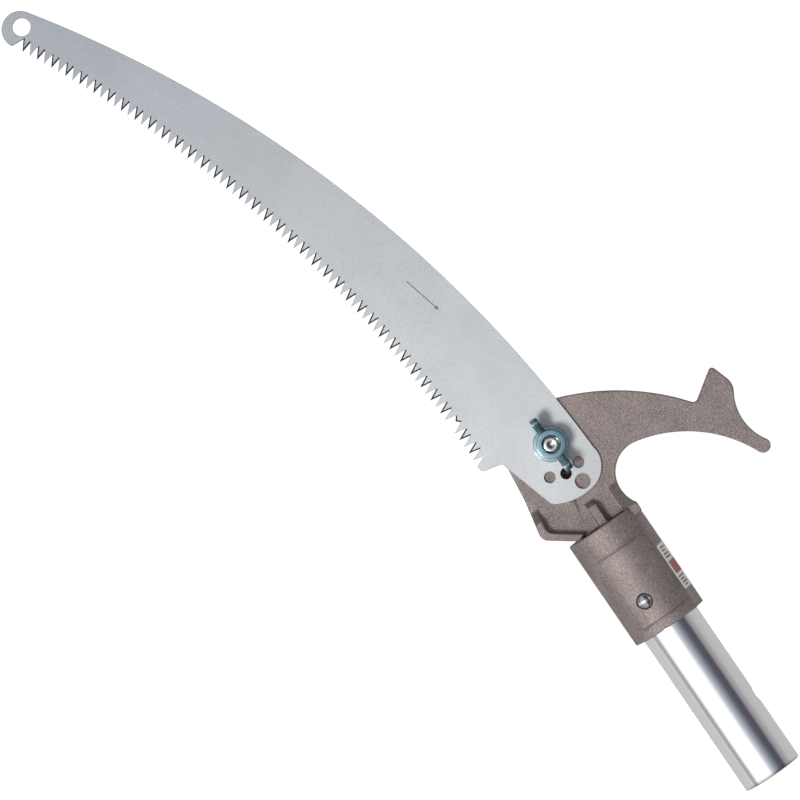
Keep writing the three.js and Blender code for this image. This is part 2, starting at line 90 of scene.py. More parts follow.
def linear(hex_colour):
    """An sRGB hex colour as linear red, green and blue."""
    srgb = np.array([int(hex_colour[i : i + 2], 16) / 255 for i in (0, 2, 4)])
    return tuple(np.where(srgb <= 0.04045, srgb / 12.92, ((srgb + 0.055) / 1.055) ** 2.4))


def colour(name, words, hex_colour):
    """A colour property with an sRGB hex default."""
    return FloatVectorProperty(
        name=name, description=words, default=linear(hex_colour), size=3, min=0, max=1, subtype="COLOR"
    )


def length(name, words, millimetres):
    """A length property with its default in millimetres."""
    return FloatProperty(name=name, description=words, default=millimetres * MM, min=0, unit="LENGTH")


# ---- Settings ----


class BladeSettings(bpy.types.PropertyGroup):
    pitch: length("Tooth pitch", "Distance from one tooth to the next", 4.087)
    depth: length("Tooth depth", "Height of a tooth above its gullet", 5.8)
    grind: length("Grind width", "Width of the ground facet on a tooth's flank", 0.72)
    chamfer: length("Edge break", "Broken edge round the plate and its holes", 0.16)
    steel: colour("Steel", "Satin ground saw steel", "CACCCD")
    # Painted shade: the ground flank's colour is set dark for the dark reflection its slanted face shows.
    facet: colour("Ground flank", "Freshly ground tooth flank", "6B6F72")
    mark: colour("Etched mark", "Electro-etched arrow", "6F7376")


class HeadSettings(bpy.types.PropertyGroup):
    rounding: length("Edge rounding", "Radius of the casting's edges", 0.8)
    metal: colour("Casting", "Tumbled cast aluminium", "877D7A")
    shade: colour("Casting pits", "Darker grains of the tumbled skin", "574F4D")


class ClampSettings(bpy.types.PropertyGroup):
    rounding: length("Edge rounding", "Rounding of washer and nut edges", 0.3)
    zinc: colour("Zinc", "Blue bright zinc plate", "8FAAB8")
    bright: colour("Bolt end", "Bare turned end of the bolt", "DAD8D2")
    pin: colour("Spring steel", "Oiled black spring steel", "26272A")


class TubeSettings(bpy.types.PropertyGroup):
    metal: colour("Tube", "Drawn and polished aluminium", "EDEDEF")
    chrome: colour("Button", "Polished nickel chrome", "EFF1F3")


class LabelSettings(bpy.types.PropertyGroup):
    film: colour("Film", "White vinyl film", "BDB9B8")
    panel: colour("Panel", "Red printed panel", "8A3F3C")
    ink: colour("Ink", "Dark printed bars", "56524F")


class StageSettings(bpy.types.PropertyGroup):
    distance: FloatProperty(
        name="Camera distance", description="From the blade's plane", default=3.07, min=0.5, unit="LENGTH"
    )
    view_width: FloatProperty(
        name="View width", description="Width seen at the blade's plane", default=0.4, min=0.1, unit="LENGTH"
    )
    floor: colour("Floor", "Pale studio floor", "F4F4F4")


# ---- Surfaces: numpy arrays of points in millimetres, and lists of faces ----


def grid_faces(rows, cols, across=False):
    """Quads between neighbours on a rows by cols grid, joined round across the columns if asked."""
    a, b = np.meshgrid(np.arange(rows - 1), np.arange(cols if across else cols - 1), indexing="ij")
    c = (b + 1) % cols
    return np.stack([a * cols + b, (a + 1) * cols + b, (a + 1) * cols + c, a * cols + c], -1).reshape(-1, 4)


def arc(centre, radius, start, end, steps):
    """Points of a circle's arc in a plane: centre plus radius times cosine and sine of the angle."""
    turn = np.radians(np.linspace(start, end, steps + 1))
    return np.array(centre) + radius * np.stack([np.cos(turn), np.sin(turn)], -1)


def lathed(profile, segments=96, thread=None):
    """Points r(t), h(t) of a profile turned about an axis: (r cos a, r sin a, h).
    thread(r, a, h) is what a helical groove takes from r."""
    a = np.linspace(0, 2 * np.pi, segments, endpoint=False)
    r, h = (column[:, None] for column in np.array(profile, float).T)
    r = np.broadcast_to(r, (len(r), segments))
    if thread is not None:
        r = r - thread(r, a, h)
    points = np.stack([r * np.cos(a), r * np.sin(a), np.broadcast_to(h, r.shape)], -1)
    return points.reshape(-1, 3), grid_faces(len(h), segments, across=True)


def carried(section, centres, sides, ups, capped=True):
    """A closed section (s, t) carried along a path: centre + s * side + t * up for each point of
    the path. Both ends are drawn in to a point, unless the path comes back to its start."""
    s, t = np.array(section, float).T
    middle = np.array(section, float).mean(0)
    ends = [0, *range(len(centres)), len(centres) - 1] if capped else list(range(len(centres)))
    scale = np.ones(len(ends))
    if capped:
        scale[[0, -1]] = 0
    s = middle[0] + scale[:, None] * (s - middle[0])
    t = middle[1] + scale[:, None] * (t - middle[1])
    centres, sides, ups = (np.array(x, float)[ends] for x in (centres, sides, ups))
    points = centres[:, None] + s[..., None] * sides[:, None] + t[..., None] * ups[:, None]
    return points.reshape(-1, 3), grid_faces(len(ends), len(section), across=True)


def rounded_box(width, height, radius, steps=4):
    """A rectangle's outline about its centre, each corner a quarter circle."""
    x, y = width / 2 - radius, height / 2 - radius
    corners = ((x, y, 0), (-x, y, 90), (-x, -y, 180), (x, -y, 270))
    return np.concatenate([arc((cx, cy), radius, a, a + 90, steps) for cx, cy, a in corners])


def plate(rings):
    """A plate from loops in (across, up), each a list of rings of (across, up, depth) points from
    its front to its back. The first rings bound the front face and the last ones the back face."""
    points, faces, start = [], [], 0
    fronts, backs = [], []
    for loop in rings:
        count = len(loop[0])
        points += loop
        walls = grid_faces(len(loop), count, across=True) + start
        faces += walls.tolist()
        fronts.append(np.arange(count) + start)
        backs.append(np.arange(count) + start + count * (len(loop) - 1))
        start += count * len(loop)
    points = np.concatenate(points)
    for ids in (fronts, backs):
        flat = [[Vector((*points[i, :2], 0)) for i in loop] for loop in ids]
        order = np.concatenate(ids)
        faces += [[int(order[i]) for i in face] for face in tessellate_polygon(flat)]
    return points, faces


def placed(points, origin, *axes):
    """Points from a local frame to the object's: origin plus each coordinate times its axis."""
    return np.array(origin, float) + np.array(points, float) @ np.array(axes, float)


def joined(*parts):
    """Several (points, faces) surfaces as one."""
    points, faces, start = [], [], 0
    for these, quads in parts:
        points.append(these)
        faces += [[int(i) + start for i in face] for face in quads]
        start += len(these)
    return np.concatenate(points), faces


def turned_about_bolt(points, degrees):
    """Points turned about the bolt's axis, unscrewing way."""
    turn = math.radians(degrees)
    x, z = points[:, 0] - BOLT.x, points[:, 2] - BOLT.z
    c, s = math.cos(turn), math.sin(turn)
    return np.stack([BOLT.x + c * x - s * z, points[:, 1], BOLT.z + s * x + c * z], -1)


def piece(name, surface, body, nodes, materials, sharp=35, merge=1e-6):
    """A finished object from a surface in millimetres, its points merged and its faces outward."""
    points, faces = surface
    mesh = bpy.data.meshes.new(name)
    mesh.from_pydata((np.array(points) * MM).tolist(), [], [list(map(int, f)) for f in faces])
    made = bmesh.new()
    made.from_mesh(mesh)
    bmesh.ops.remove_doubles(made, verts=made.verts, dist=merge)
    bmesh.ops.dissolve_degenerate(made, edges=made.edges, dist=1e-8)
    loose = [vert for vert in made.verts if not vert.link_faces]
    bmesh.ops.delete(made, geom=loose, context="VERTS")
    bmesh.ops.recalc_face_normals(made, faces=made.faces)
    made.to_mesh(mesh)
    made.free()
    for material in materials:
        mesh.materials.append(material)
    return finished(bpy.data.objects.new(name, mesh), body, nodes, sharp)


def finished(thing, body, nodes, sharp):
    """Links a piece, shades it smooth but for its edges, and makes it ride its body and replace its nodes.
    """
    bpy.context.scene.collection.objects.link(thing)
    thing.data.shade_smooth()
    thing.data.set_sharp_from_angle(angle=math.radians(sharp))
    if body:
        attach(thing, body)
    if nodes:
        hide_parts(*nodes)
    return thing


def face_values(thing, name):
    """One row of a mesh's face values, such as normals, for each of its faces."""
    faces = thing.data.polygons
    each = 1 if name == "area" else 3
    values = np.empty(len(faces) * each, np.float32)
    faces.foreach_get(name, values)
    return values.reshape(-1, each)


def paint(thing, chosen):
    """Gives a piece's second material to the chosen faces."""
    thing.data.polygons.foreach_set("material_index", chosen.astype(np.int32))


# ---- Materials ----


def add_node(tree, kind, inputs=None, **settings):
    """Adds a node with its settings. An input takes a value, or a socket that it is linked from."""
    node = tree.nodes.new(kind)
    for name, value in settings.items():
        setattr(node, name, value)
    for name, value in (inputs or {}).items():
        if isinstance(value, bpy.types.NodeSocket):
            tree.links.new(value, node.inputs[name])
        else:
            node.inputs[name].default_value = value
    return node


def start_material(name):
    """A material's tree with its Principled shader and Object coordinates."""
    material = bpy.data.materials.new(name)
    material.use_nodes = True
    tree = material.node_tree
    shader = tree.nodes["Principled BSDF"]
    place = add_node(tree, "ShaderNodeTexCoord").outputs["Object"]
    return material, tree, shader, place


def noise(tree, place, scale, detail=2, roughness=0.5):
    """A noise about 0.5, with its scale per metre."""
    inputs = {"Vector": place, "Scale": scale, "Detail": detail, "Roughness": roughness}
    return add_node(tree, "ShaderNodeTexNoise", inputs).outputs["Fac"]


def stretched(tree, place, scales, turns=(0, 0, 0)):
    """A place turned, and scaled per metre along each axis."""
    inputs = {"Vector": place, "Rotation": turns, "Scale": scales}
    return add_node(tree, "ShaderNodeMapping", inputs).outputs[0]


def mapped(tree, value, low, high, start=0.0, end=1.0):
    """Low where a value is at its start, high where it is at its end, and even between."""
    inputs = {"Value": value, "From Min": start, "From Max": end, "To Min": low, "To Max": high}
    return add_node(tree, "ShaderNodeMapRange", inputs).outputs[0]


def ramp(tree, share, stops):
    """A share's colour on a Color Ramp with these stops: position and linear colour."""
    node = add_node(tree, "ShaderNodeValToRGB", {"Fac": share})
    elements = node.color_ramp.elements
    while len(elements) < len(stops):
        elements.new(0.5)
    for element, (at, shade) in zip(elements, stops):
        element.position = at
        element.color = (*shade, 1)
    return node.outputs["Color"]


def multiplied(tree, first, second):
    """The product of two colours."""
    inputs = {0: 1.0, 6: first, 7: second}
    return add_node(tree, "ShaderNodeMix", inputs, data_type="RGBA", blend_type="MULTIPLY").outputs[2]


def tint(rgb, factor):
    """A colour made darker or lighter by a factor."""
    return tuple(min(1.0, c * factor) for c in rgb)


def coat(tree, shader, shades, roughness, metallic):
    """Gives a shader its colour, its roughness as a value or a socket, and how much it is metal."""
    tree.links.new(shades, shader.inputs["Base Color"])
    if isinstance(roughness, bpy.types.NodeSocket):
        tree.links.new(roughness, shader.inputs["Roughness"])
    else:
        shader.inputs["Roughness"].default_value = roughness
    shader.inputs["Metallic"].default_value = metallic


def dent(tree, shader, height, strength, depth):
    """Bumps a shader by a height pattern, its depth in metres."""
    inputs = {"Strength": strength, "Distance": depth, "Height": height}
    tree.links.new(add_node(tree, "ShaderNodeBump", inputs).outputs[0], shader.inputs["Normal"])


def satin_saw_steel(settings):
    """Hardened carbon steel, belt ground and satin finished: a pale, even sheen with a fine
    cross grain about 1 mm long and faint cloudy patches some 25 mm wide. Painted shade makes
    the colour darker and bluer from the heel to the tip, for the dimmer light at the tip."""
    material, tree, shader, place = start_material("satin_ground_saw_steel")
    grain = noise(tree, stretched(tree, place, (900, 900, 2600), (0, 0.3, 0)), 1, 3, 0.6)
    cloud = noise(tree, place, 42)
    steel = tuple(settings.steel)
    shades = ramp(tree, cloud, [(0.3, tint(steel, 0.95)), (0.52, steel), (0.75, tint(steel, 1.04))])
    speckle = ramp(tree, grain, [(0.3, (0.82, 0.83, 0.84)), (0.55, (1, 1, 1)), (0.8, (1, 1, 1))])
    # Painted shade: the colour darkens and turns bluer towards the tip, standing in for the dimmer light
    # there.
    height = add_node(tree, "ShaderNodeSeparateXYZ", {0: place}).outputs["Z"]
    toward_tip = mapped(tree, height, 0.0, 1.0, 0.2, 0.5)
    inputs = {0: toward_tip, 6: (1, 1, 1, 1), 7: (0.74, 0.76, 0.8, 1)}
    tip_painted_shade = add_node(tree, "ShaderNodeMix", inputs, data_type="RGBA").outputs[2]
    toned = multiplied(tree, multiplied(tree, shades, speckle), tip_painted_shade)
    coat(tree, shader, toned, mapped(tree, grain, 0.52, 0.64), 1.0)
    dent(tree, shader, grain, 0.12, 0.00004)
    return material


def flank_steel_with_painted_shade(settings):
    """The same steel where a wheel has just ground a tooth's flank: more mirror-like, with scratches
    along the grind some 0.3 mm apart. Its colour is painted darker: painted shade for the dark
    reflection that the slanted flank shows."""
    material, tree, shader, place = start_material("wheel_ground_flank_painted_shade")
    facet = tuple(settings.facet)
    # The dark colour is painted shade standing in for the flank's dark reflection; the fine scratch noise is
    # the steel's own.
    shades = ramp(tree, noise(tree, place, 3000), [(0.3, tint(facet, 0.6)), (0.7, tint(facet, 1.2))])
    coat(tree, shader, shades, 0.38, 1.0)
    return material


def etched_mark(settings):
    """Electrolytic etch on steel: a dull grey oxide a few hundredths deep, so it hardly shines."""
    material, tree, shader, place = start_material("electro_etched_oxide")
    mark = tuple(settings.mark)
    shades = ramp(tree, noise(tree, place, 2500), [(0.35, tint(mark, 0.8)), (0.65, tint(mark, 1.2))])
    coat(tree, shader, shades, 0.7, 0.4)
    return material


def tumbled_casting(settings):
    """Sand cast aluminium, tumbled in ceramic media: warm grey with a grain of pale burnished
    specks and dark pits 0.3 to 1 mm wide, and a broad slow change of tone."""
    material, tree, shader, place = start_material("tumbled_cast_aluminium")
    grain = noise(tree, place, 3000, 2, 0.8)
    cloud = noise(tree, place, 60, 3, 0.6)
    slight = add_node(tree, "ShaderNodeMath", {0: cloud, 1: 0.12}, operation="MULTIPLY").outputs[0]
    blended = add_node(tree, "ShaderNodeMath", {0: grain, 1: slight}, operation="ADD").outputs[0]
    metal, shade = tuple(settings.metal), tuple(settings.shade)
    shades = ramp(tree, blended, [(0.45, shade), (0.56, metal), (0.7, tint(metal, 2.0))])
    coat(tree, shader, shades, mapped(tree, grain, 0.5, 0.75), 0.7)
    dent(tree, shader, grain, 0.55, 0.00012)
    return material


def bright_zinc(settings):
    """Steel, electroplated with zinc and blue passivated: a smooth blue-grey mirror, slightly
    cloudy, with a faint lean to green where the passivate is thick."""
    material, tree, shader, place = start_material("blue_passivated_zinc_plate")
    cloud = noise(tree, place, 400, 3)
    zinc = tuple(settings.zinc)
    greener = (zinc[0] * 0.85, zinc[1] * 1.0, zinc[2] * 0.9)
    shades = ramp(tree, cloud, [(0.3, greener), (0.55, zinc), (0.8, tint(zinc, 1.25))])
    coat(tree, shader, shades, mapped(tree, cloud, 0.12, 0.24), 1.0)
    dent(tree, shader, cloud, 0.15, 0.00005)
    return material


def smooth_metal(name, shade, roughness, wear):
    """A polished or oiled metal: one tone, with faint wear marks of the given scale per metre
    that change how sharp its reflections are."""
    material, tree, shader, place = start_material(name)
    marks = noise(tree, place, wear, 4)
    shade = tuple(shade)
    shades = ramp(tree, marks, [(0.3, tint(shade, 0.88)), (0.7, shade)])
    coat(tree, shader, shades, mapped(tree, marks, roughness * 0.7, roughness * 1.3), 1.0)
    return material


def drawn_aluminium(settings):
    """Aluminium tube, drawn through a die and buffed: near mirror bright, with hairline die marks
    along the tube 0.3 to 1 mm apart that blur reflections round it a little."""
    material, tree, shader, place = start_material("drawn_buffed_aluminium")
    lines = noise(tree, stretched(tree, place, (1400, 1400, 6)), 1, 3)
    metal = tuple(settings.metal)
    shades = ramp(tree, lines, [(0.3, tint(metal, 0.93)), (0.6, metal)])
    coat(tree, shader, shades, mapped(tree, lines, 0.1, 0.17), 1.0)
    dent(tree, shader, lines, 0.05, 0.00002)
    return material


def printed_vinyl(name, shade, roughness):
    """Calendered vinyl film or the ink on it: a soft plastic gloss, with scuffs 1 to 2 mm wide."""
    material, tree, shader, place = start_material(name)
    scuff = noise(tree, place, 700, 3)
    shade = tuple(shade)
    shades = ramp(tree, scuff, [(0.3, tint(shade, 0.84)), (0.6, shade)])
    coat(tree, shader, shades, mapped(tree, scuff, roughness, roughness + 0.15), 0.0)
    return material


# ---- Saw blade ----

# Points are across and up from the bolt. The toothed line and the spine are arcs about two centres.
TOOTH_CENTRE = np.array([-679.1, 18.1])
TOOTH_LINE = 642.6
SPINE_CENTRE = np.array([-622.2, -34.4])
SPINE = 639.5
HEEL_DEG = -0.6
REACH = 316.5
HEEL_ROUND = 30.1
HEEL_FRONT = 4.5
HEEL_BACK = 14.5
TANG_HALF = 23.0
TANG_DEG = 196.7
GULLETS = (1.6, 0.6)  # places along the toothed line, in pitches from the heel
TOOTH_POINT = 0.93
HALF_LAND = 0.035  # of a gullet's flat bottom
BARE_TIP = 5.5
SHORT_TOOTH = 5  # counted from the heel: broken down to this share of its height
SHORT_SHARE = 0.3
RUN_OUT = 1.6  # how far the grinding wheel runs on into the plate, in grind widths
GRIND_LEFT = 0.4  # plate left under a ground flank
UNGROUND_SHARE, UNGROUND_DEPTH = 0.12, 0.1  # of a tooth's other face
INDEX_REACH, INDEX_DEG, INDEX_STEP, INDEX_HOLE = 16.5, -96.2, 29.4, 2.85
SPARE_REACH, SPARE_DEG, SPARE_HOLE = 24.4, -83, 3.85
BOLT_HOLE = 4.27
TIP_HOLE, TIP_HOLE_OUT = 4.5, 1.4


def polar(centre, radius, degrees):
    """The point at a radius and a direction from a centre."""
    turn = math.radians(degrees)
    return np.array([centre[0] + radius * math.cos(turn), centre[1] + radius * math.sin(turn)])


def corner(before, at, after, radius, steps=5):
    """The arc that touches both sides of a corner."""
    a = (before - at) / np.linalg.norm(before - at)
    b = (after - at) / np.linalg.norm(after - at)
    half = math.acos(float(np.clip(a @ b, -1, 1))) / 2
    middle = at + (a + b) / np.linalg.norm(a + b) * radius / math.sin(half)
    start, end = (at + v * radius / math.tan(half) - middle for v in (a, b))
    first = math.degrees(math.atan2(start[1], start[0]))
    turn = math.degrees(math.atan2(start[0] * end[1] - start[1] * end[0], float(start @ end)))
    return arc(middle, radius, first, first + turn, steps)


def tip_round():
    """Middle, radius and direction of the round tip: the circle that touches the toothed line
    from outside and the spine from inside."""
    line = HEEL_DEG + math.degrees(REACH / TOOTH_LINE)
    apart = SPINE_CENTRE - TOOTH_CENTRE
    total = TOOTH_LINE + SPINE
    along = float(apart @ [math.cos(math.radians(line)), math.sin(math.radians(line))])
    out = (total**2 - float(apart @ apart)) / (2 * (total - along))
    return polar(TOOTH_CENTRE, out, line), out - TOOTH_LINE, line


def bearing(centre, point):
    """A point's direction from a centre, in degrees."""
    return math.degrees(math.atan2(point[1] - centre[1], point[0] - centre[0]))


def blade_back_edge():
    """The outline from the tang's front corner round the heel, up the spine and round the tip."""
    tip, tip_radius, line = tip_round()
    back_x = SPINE_CENTRE[0] + SPINE - HEEL_BACK
    back = np.array([back_x, -math.sqrt((HEEL_ROUND - HEEL_BACK) ** 2 - back_x**2)])
    turn = math.degrees(math.acos((TANG_HALF - HEEL_FRONT) / (HEEL_ROUND - HEEL_FRONT)))
    front = polar((0, 0), HEEL_ROUND - HEEL_FRONT, TANG_DEG + turn)
    back_deg = 360 + bearing((0, 0), back)
    spine_end = bearing(SPINE_CENTRE, tip)
    return np.concatenate(
        [
            arc(front, HEEL_FRONT, TANG_DEG, TANG_DEG + turn, 8),
            arc((0, 0), HEEL_ROUND, TANG_DEG + turn, back_deg, 40)[1:],
            arc(back, HEEL_BACK, back_deg, 360, 24)[1:],
            arc(SPINE_CENTRE, SPINE, bearing(SPINE_CENTRE, back) + 0.2, spine_end, 150),
            arc(tip, tip_radius, spine_end, line + 180, 40)[1:],
        ]
    )


def blade_heel_edge():
    """The outline below the last gullet: the round bump at the heel and the notch to the tang."""
    heel_round, bump_round, notch_round = 0.4, 2.2, 2.4
    tang = polar(polar((0, 0), TANG_HALF, TANG_DEG), 10, TANG_DEG - 90)
    notch = tang + [-0.6, 2.6]
    heel = polar(TOOTH_CENTRE, TOOTH_LINE, HEEL_DEG)
    bump = heel + [0.4, -3.4]
    gullet = polar(TOOTH_CENTRE, TOOTH_LINE + 5.8, HEEL_DEG + 0.2)
    corners = [
        corner(gullet, heel, bump, heel_round, 4),
        corner(heel, bump, notch, bump_round, 10),
        corner(bump, notch, tang, notch_round, 10),
    ]
    return np.concatenate(corners)


def blade_teeth(settings):
    """Each tooth's gullet, point and gullet, from the tip back to the heel, and which teeth are
    ground on the front face. Teeth lean a sixth of a pitch towards the heel."""
    line = tip_round()[2]
    step = math.degrees(settings.pitch / MM / TOOTH_LINE)
    count = int((line - math.degrees(BARE_TIP / TOOTH_LINE) - HEEL_DEG) // step)
    i = np.arange(count)[::-1]
    gullet = TOOTH_LINE + settings.depth / MM
    upper, lower = GULLETS[0] - HALF_LAND, GULLETS[1] + HALF_LAND
    columns = []
    for shift, radius in ((upper, gullet), (TOOTH_POINT, TOOTH_LINE), (lower, gullet)):
        turn = np.radians(HEEL_DEG + step * (i + shift))
        columns.append(TOOTH_CENTRE + radius * np.stack([np.cos(turn), np.sin(turn)], -1))
    teeth = np.stack(columns, 1)
    short = i == SHORT_TOOTH
    middle = (teeth[short, 0] + teeth[short, 2]) / 2
    teeth[short, 1] = middle + SHORT_SHARE * (teeth[short, 1] - middle)
    return teeth, i % 2 == 1


def ground_inset(teeth, width):
    """How far each tooth's three corners move in when both flanks are ground back by a width:
    gullets slide along the gullet line and on along the flank, as the wheel runs out into the
    plate, and the point rises to where the two facets meet."""
    left, point, right = teeth[:, 0], teeth[:, 1], teeth[:, 2]
    sides = (right - left, left - point, right - point)
    base, a, b = (side / np.linalg.norm(side, axis=1, keepdims=True) for side in sides)
    half = np.arccos(np.clip((a * b).sum(1), -1, 1)) / 2
    middle = a + b
    middle /= np.linalg.norm(middle, axis=1, keepdims=True)
    left_slide, right_slide = (
        (width / np.abs(flank[:, 0] * base[:, 1] - flank[:, 1] * base[:, 0]))[:, None] for flank in (a, b)
    )
    run_out = RUN_OUT * width
    moves = [
        base * left_slide + a * run_out,
        middle * (width / np.sin(half))[:, None],
        -base * right_slide + b * run_out,
    ]
    return np.stack(moves, 1)


def inward(loop):
    """The unit normal of a loop that runs anticlockwise, turned inwards, at each of its points."""
    along = np.roll(loop, -1, 0) - np.roll(loop, 1, 0)
    along /= np.linalg.norm(along, axis=1, keepdims=True)
    return np.stack([-along[:, 1], along[:, 0]], -1)


def blade_surface(settings):
    """A plate between two outlines. The outline's front and back edges are broken by a chamfer,
    and every other tooth is ground on both flanks of one face, nearly through to the other."""
    thickness = BLADE_HIGH.y - BLADE_LOW.y
    chamfer = settings.chamfer / MM
    teeth, front_ground = blade_teeth(settings)
    grind = ground_inset(teeth, settings.grind / MM).reshape(-1, 2)
    back_edge, heel_edge = blade_back_edge(), blade_heel_edge()
    loop = np.concatenate([back_edge, teeth.reshape(-1, 2), heel_edge])
    toothed = slice(len(back_edge), len(back_edge) + len(grind))
    insets, depths = [], []
    for face_ground in (front_ground, ~front_ground):
        ground = np.repeat(face_ground, 3)
        inset = inward(loop) * chamfer
        inset[toothed] = np.where(ground[:, None], grind, UNGROUND_SHARE * grind)
        depth = np.full(len(loop), chamfer)
        depth[toothed] = np.where(ground, thickness - GRIND_LEFT, UNGROUND_DEPTH)
        insets.append(inset)
        depths.append(depth)
    outline = [
        np.column_stack([loop + insets[0], np.zeros(len(loop))]),
        np.column_stack([loop, depths[0]]),
        np.column_stack([loop, thickness - depths[1]]),
        np.column_stack([loop + insets[1], np.full(len(loop), thickness)]),
    ]
    holes = [blade_hole(centre, radius, thickness, chamfer) for centre, radius in blade_holes()]
    return plate([outline, *holes])


def blade_holes():
    """Centres and radii: bolt, spare hole, tip hole and the three index holes."""
    tip, _, line = tip_round()
    index = [(polar((0, 0), INDEX_REACH, INDEX_DEG + k * INDEX_STEP), INDEX_HOLE) for k in (-1, 0, 1)]
    return [
        (np.zeros(2), BOLT_HOLE),
        (polar((0, 0), SPARE_REACH, SPARE_DEG), SPARE_HOLE),
        (polar(tip, TIP_HOLE_OUT, line), TIP_HOLE),
        *index,
    ]


def blade_hole(centre, radius, thickness, chamfer):
    """A round hole's rings from front to back, its edges broken like the outline's."""
    wide, back = radius + chamfer, thickness - chamfer
    steps = ((wide, 0), (radius, chamfer), (radius, back), (wide, thickness))
    rings = ((arc(centre, r, 0, 360, 48)[:-1][::-1], depth) for r, depth in steps)
    return [np.column_stack([ring, np.full(len(ring), depth)]) for ring, depth in rings]


def arrow_surface():
    """A flat arrow down the blade's middle, pointing to the heel, as a thin raised film."""
    tail, head = np.array([-13.3, 107.7]), np.array([-8.0, 86.6])
    along = (head - tail) / np.linalg.norm(head - tail)
    across = np.array([-along[1], along[0]])
    reach = float(np.linalg.norm(head - tail))
    half_line, half_head, neck, barb, film = 0.28, 1.15, reach - 2.6, reach - 2.9, 0.03
    side = [(0, half_line), (neck, half_line), (barb, half_head)]
    shape = np.array([*((x, -y) for x, y in side), (reach, 0), *side[::-1]])
    loop = tail + shape[:, :1] * along + shape[:, 1:] * across
    return plate([[np.column_stack([loop, np.full(len(loop), d)]) for d in (0.0, film)]])


def blade_place(points, front):
    """From (across, up, depth) about the bolt to the object's frame."""
    return placed(points, (BOLT.x, front, BOLT.z), (1, 0, 0), (0, 0, 1), (0, 1, 0))


class POLESAW_OT_blade(bpy.types.Operator):
    """Make the saw blade with its ground teeth and its etched arrow"""

    bl_idname = "polesaw.blade"
    bl_label = "Saw Blade"

    def execute(self, context):
        settings = context.scene.polesaw_blade
        points, faces = blade_surface(settings)
        thing = piece(
            "curved_saw_blade",
            (blade_place(points, BLADE_LOW.y), faces),
            "blade",
            ["saw_blade"],
            [satin_saw_steel(settings), flank_steel_with_painted_shade(settings)],
            sharp=20,
        )
        paint_ground_flanks(thing)
        sunk = 0.025
        mark, quads = arrow_surface()
        piece(
            "etched_arrow",
            (blade_place(mark, BLADE_LOW.y - sunk), quads),
            "blade",
            [],
            [etched_mark(settings)],
        )
        return {"FINISHED"}


def paint_ground_flanks(thing):
    """Gives the second material to the slanted facets along the toothed line: broad faces that lie
    neither in the plate's face nor square to it."""
    normals, centres, areas = (face_values(thing, name) for name in ("normal", "center", "area"))
    lean = np.abs(normals[:, 1])
    where = centres[:, [0, 2]] / MM - [BOLT.x, BOLT.z] - TOOTH_CENTRE
    near = np.linalg.norm(where, axis=1) < TOOTH_LINE + 5.9
    paint(thing, (lean > 0.2) & (lean < 0.95) & near & (areas[:, 0] > 5e-7))


# ---- Cast head ----


def border_surface():
    """A low round bead carried round the raised panel, a hairline outside its edge. Its path is a
    rectangle in angle and height, laid on the collar."""
    radius, half_deg, steps = 20.3, 40.7, 20
    across = np.linspace(-half_deg, half_deg, 2 * steps + 1)
    turn = np.concatenate([across[steps:], across[::-1], across[: steps + 1]])
    lows, highs = np.full(steps + 1, PANEL_LOW), np.full(2 * steps + 1, PANEL_HIGH)
    z = np.concatenate([lows, highs, lows])
    a = np.radians(turn - 90)
    out = np.stack([np.cos(a), np.sin(a), 0 * a], -1)
    centres = radius * out + np.stack([0 * a, 0 * a, z], -1)
    along = np.gradient(centres, axis=0)
    along /= np.linalg.norm(along, axis=1, keepdims=True)
    return carried(rounded_box(0.8, 0.7, 0.33), centres, np.cross(along, out), out, capped=False)


class POLESAW_OT_head(bpy.types.Operator):
    """Make the cast head with its branch hook, its edges rounded as cast"""

    bl_idname = "polesaw.head"
    bl_label = "Cast Head"

    def execute(self, context):
        settings = context.scene.polesaw_head
        sharp_deg = 24
        mesh = frame["nodes"]["saw_head"].data.copy()
        mesh.name = "cast_head"
        mesh.materials.clear()
        made = bmesh.new()
        made.from_mesh(mesh)
        bmesh.ops.remove_doubles(made, verts=made.verts, dist=2e-6)
        bmesh.ops.dissolve_limit(made, angle_limit=math.radians(0.6), verts=made.verts, edges=made.edges)
        weights = made.edges.layers.float.new("bevel_weight_edge")
        for edge in made.edges:
            if edge.is_manifold and edge.calc_face_angle() > math.radians(sharp_deg):
                edge[weights] = rounding_share(edge)
        made.to_mesh(mesh)
        made.free()
        mesh.materials.append(tumbled_casting(settings))
        thing = bpy.data.objects.new("cast_head", mesh)
        finished(thing, "head", ["saw_head"], sharp_deg)
        bevel = thing.modifiers.new("rounded_edges", "BEVEL")
        bevel.limit_method = "WEIGHT"
        bevel.width = settings.rounding
        bevel.segments = 3
        bevel.use_clamp_overlap = False
        bevel.harden_normals = True
        piece("panel_border", border_surface(), "head", [], [mesh.materials[0]])
        return {"FINISHED"}


def rounding_share(edge):
    """How much of the full rounding an edge takes: none at the bolt's and pin's holes, little in
    the socket and on the collar's raised panel, and all of it elsewhere."""
    middle = (edge.verts[0].co + edge.verts[1].co) / 2 / MM
    pin = (PIN_LOW + PIN_HIGH) / 2
    for hole, reach in ((BOLT, 8), (pin, 4)):
        if math.hypot(middle.x - hole.x, middle.z - hole.z) < reach:
            return 0.0
    radius = math.hypot(middle.x, middle.y)
    if radius < TUBE_HIGH.x + 0.7 and middle.z < TUBE_HIGH.z + 1:
        return 0.3
    if radius < 22 and math.floor(PANEL_LOW) < middle.z < math.ceil(PANEL_HIGH):
        return 0.22
    return 1.0


# ---- Clamp ----

LOCK_OUTER, LOCK_SLIT_DEG = 7.8, 9
PIN_BORE, PIN_OUTER, PIN_SLIT_DEG, PIN_ROUNDING = 1.5, 2.4, 22, 0.3


def clamp_place(points, back):
    """From (across, up, out) about the bolt to the object's frame, out being towards -Y."""
    return placed(points, (BOLT.x, back, BOLT.z), (1, 0, 0), (0, 0, 1), (0, -1, 0))


